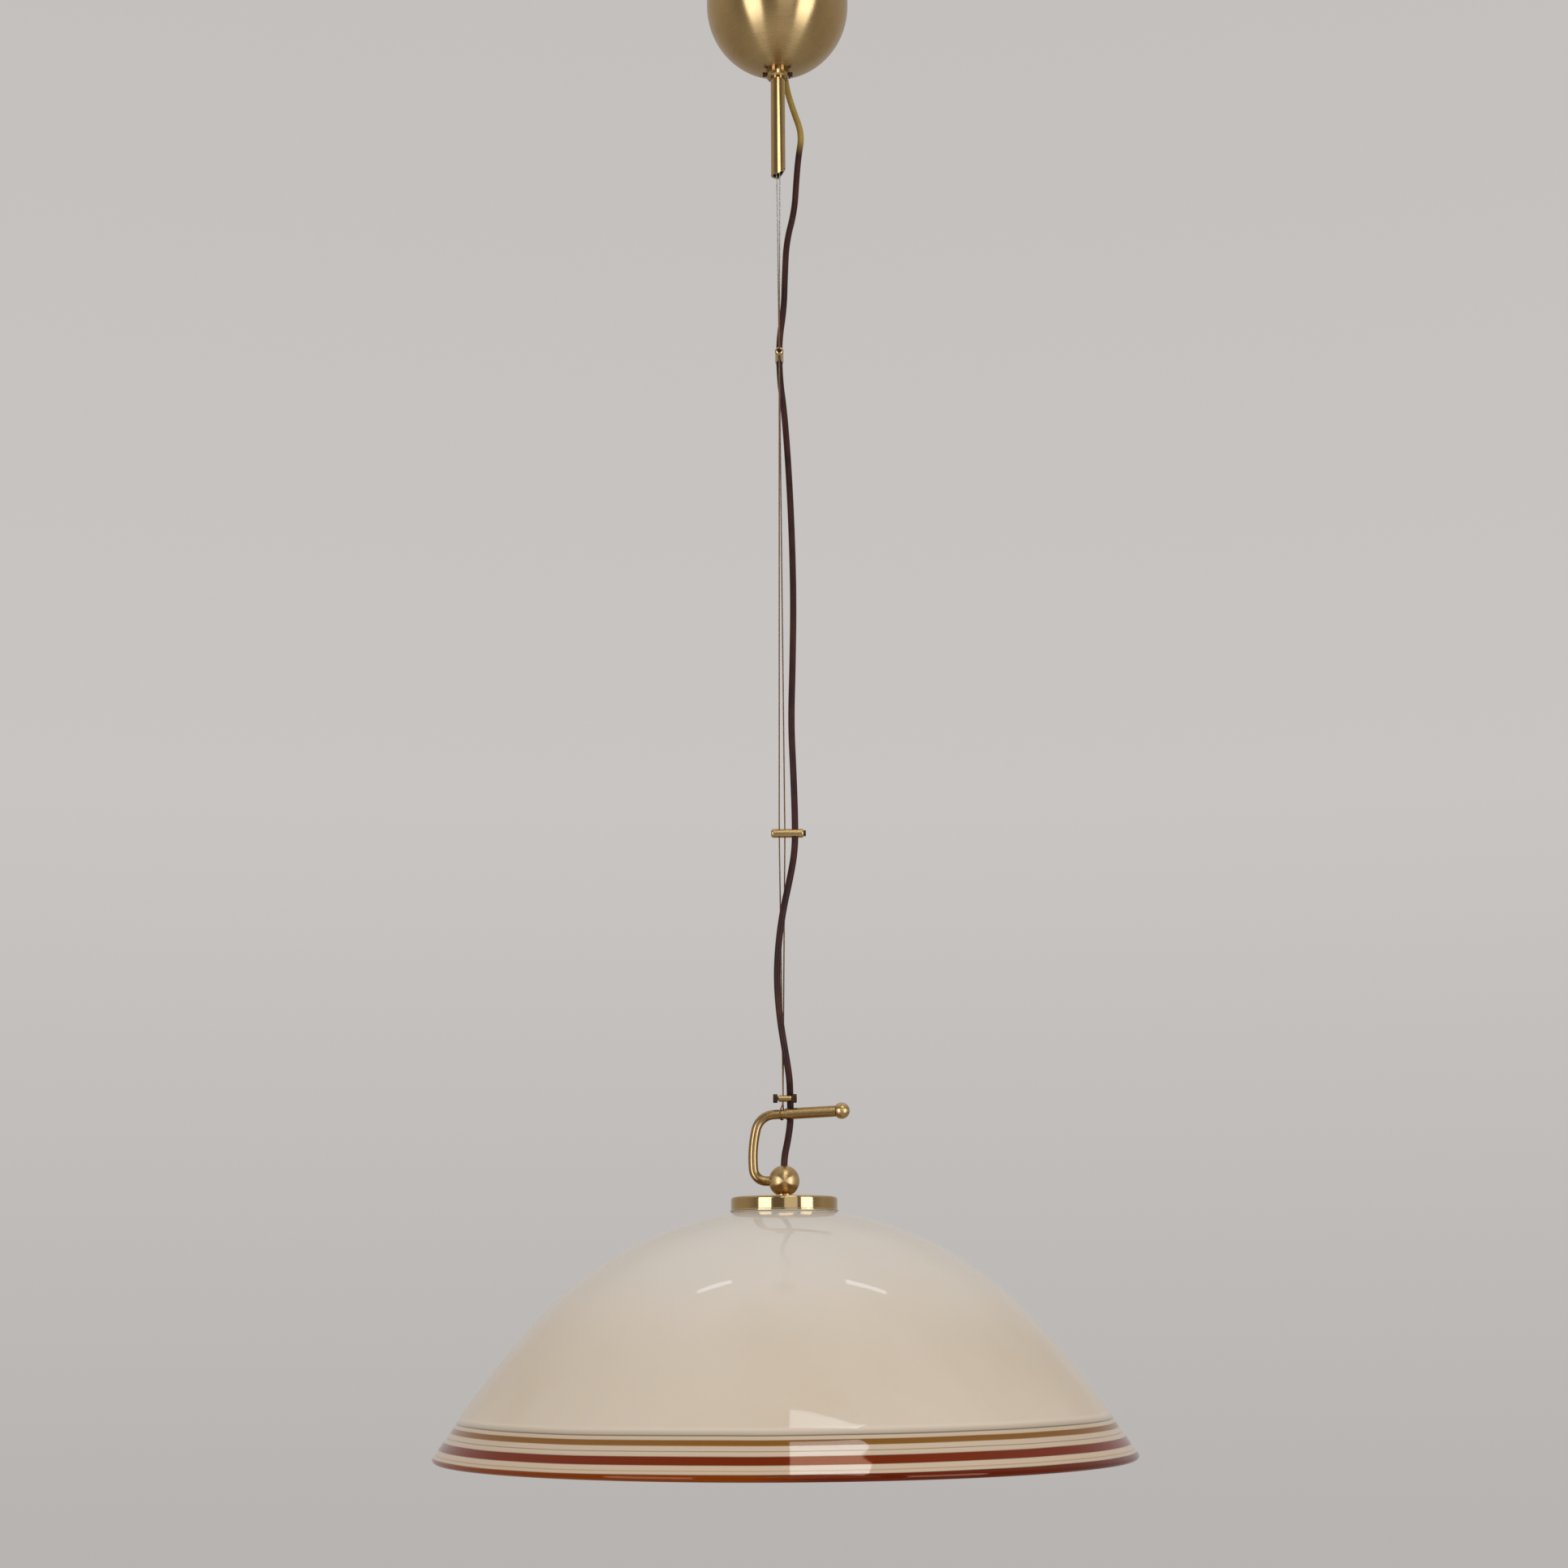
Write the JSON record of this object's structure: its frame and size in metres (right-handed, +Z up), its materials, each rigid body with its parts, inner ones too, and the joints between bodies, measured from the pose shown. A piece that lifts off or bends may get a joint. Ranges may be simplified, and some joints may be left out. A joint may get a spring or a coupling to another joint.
{
  "type": "glass pendant light",
  "caption": "Pendant light with a wide domed glass shade hung on twin wires below a brass cup canopy, with spacer bars, a bent brass handle and a loosely led cable.",
  "frame": {"origin": "on the ceiling plane, midway between the bracket's two fixing holes and on the lamp's axis", "axes": "+Z up along the lamp's axis, +X to the right along the ceiling bracket, -Y towards the picture's camera"},
  "size_m": [0.4999, 0.5, 1.1709],
  "materials": {
    "brass": "satin turned brass",
    "dark_screw": "dark bronzed steel",
    "steel_wire": "stranded steel wire",
    "zinc_steel": "zinc plated steel",
    "opal_glass": "cream opal blown glass, clear cased, striped at the rim",
    "bulb_opal": "opal lamp glass",
    "bulb_metal": "bare aluminium",
    "brown_pvc": "brown PVC sheath",
    "core_sleeve": "core insulation",
    "terminal_plastic": "ivory polyamide",
    "black_resin": "black moulded resin",
    "pale_insulator": "pale ceramic-like insulator",
    "black_rubber": "soft black rubber"
  },
  "bodies": {
    "ceiling_mount": {"ceiling_bracket": "zinc_steel", "stem_nipple": "zinc_steel", "stem_nut": "zinc_steel", "stem_tube": "brass", "wire_anchor": "brass", "wire_ferrules": "zinc_steel", "terminal_block": "terminal_plastic", "terminal_screws": "zinc_steel", "wire_upper_left": "steel_wire", "wire_upper_right": "steel_wire", "cable_inner": "brown_pvc", "cable_upper": "brown_pvc", "cable_middle": "brown_pvc", "core_front": "core_sleeve", "core_back": "core_sleeve"},
    "canopy": {"canopy_cup": "brass", "canopy_collar": "brass", "collar_screws": "dark_screw", "cable_grommet": "black_rubber"},
    "lamp": {"upper_bar": "brass", "upper_bar_screws": "dark_screw", "lower_bar": "brass", "lower_bar_screws": "dark_screw", "wire_lower_left": "steel_wire", "wire_lower_right": "steel_wire", "wire_loop": "steel_wire", "barrel_clamp": "brass", "handle_arm": "brass", "handle_grip": "brass", "handle_knob": "brass", "neck_ball": "brass", "neck_nipple": "zinc_steel", "cap_disc": "brass", "cap_gasket": "black_rubber", "shade_glass": "opal_glass", "lower_gasket": "black_rubber", "lower_washer": "zinc_steel", "neck_nut": "zinc_steel", "holder_cap": "black_resin", "holder_shell": "black_resin", "holder_insert": "pale_insulator", "screw_sleeve": "zinc_steel", "centre_contact": "brass", "cable_lower": "brown_pvc"},
    "clamp_screw_left": {"clamp_screw_left": "dark_screw"},
    "clamp_screw_right": {"clamp_screw_right": "dark_screw"},
    "bulb": {"bulb_base": "bulb_metal", "bulb_glass": "bulb_opal"}
  },
  "joints": [
    {"name": "canopy_slide", "type": "slide", "parent": "ceiling_mount", "child": "canopy", "axis": [0, 0, 1], "range_m": [-0.05, 0], "deforming": ["cable_inner", "cable_upper"]},
    {"name": "height_adjust", "type": "slide", "parent": "ceiling_mount", "child": "lamp", "axis": [0, 0, 1], "range_m": [0, 0.09], "deforming": ["wire_upper_left", "wire_upper_right", "cable_middle"]},
    {"name": "clamp_screw_left_turn", "type": "hinge", "parent": "lamp", "child": "clamp_screw_left", "pos_m": [0.001, 0, -0.9155], "axis": [-1, 0, 0], "range_deg": [0, 720]},
    {"name": "clamp_screw_right_turn", "type": "hinge", "parent": "lamp", "child": "clamp_screw_right", "pos_m": [0.001, 0, -0.9155], "axis": [1, 0, 0], "range_deg": [0, 720]},
    {"name": "bulb_turn", "type": "hinge", "parent": "lamp", "child": "bulb", "pos_m": [0, 0, -1.05], "axis": [0, 0, -1], "range_deg": [0, 1080]}
  ]
}
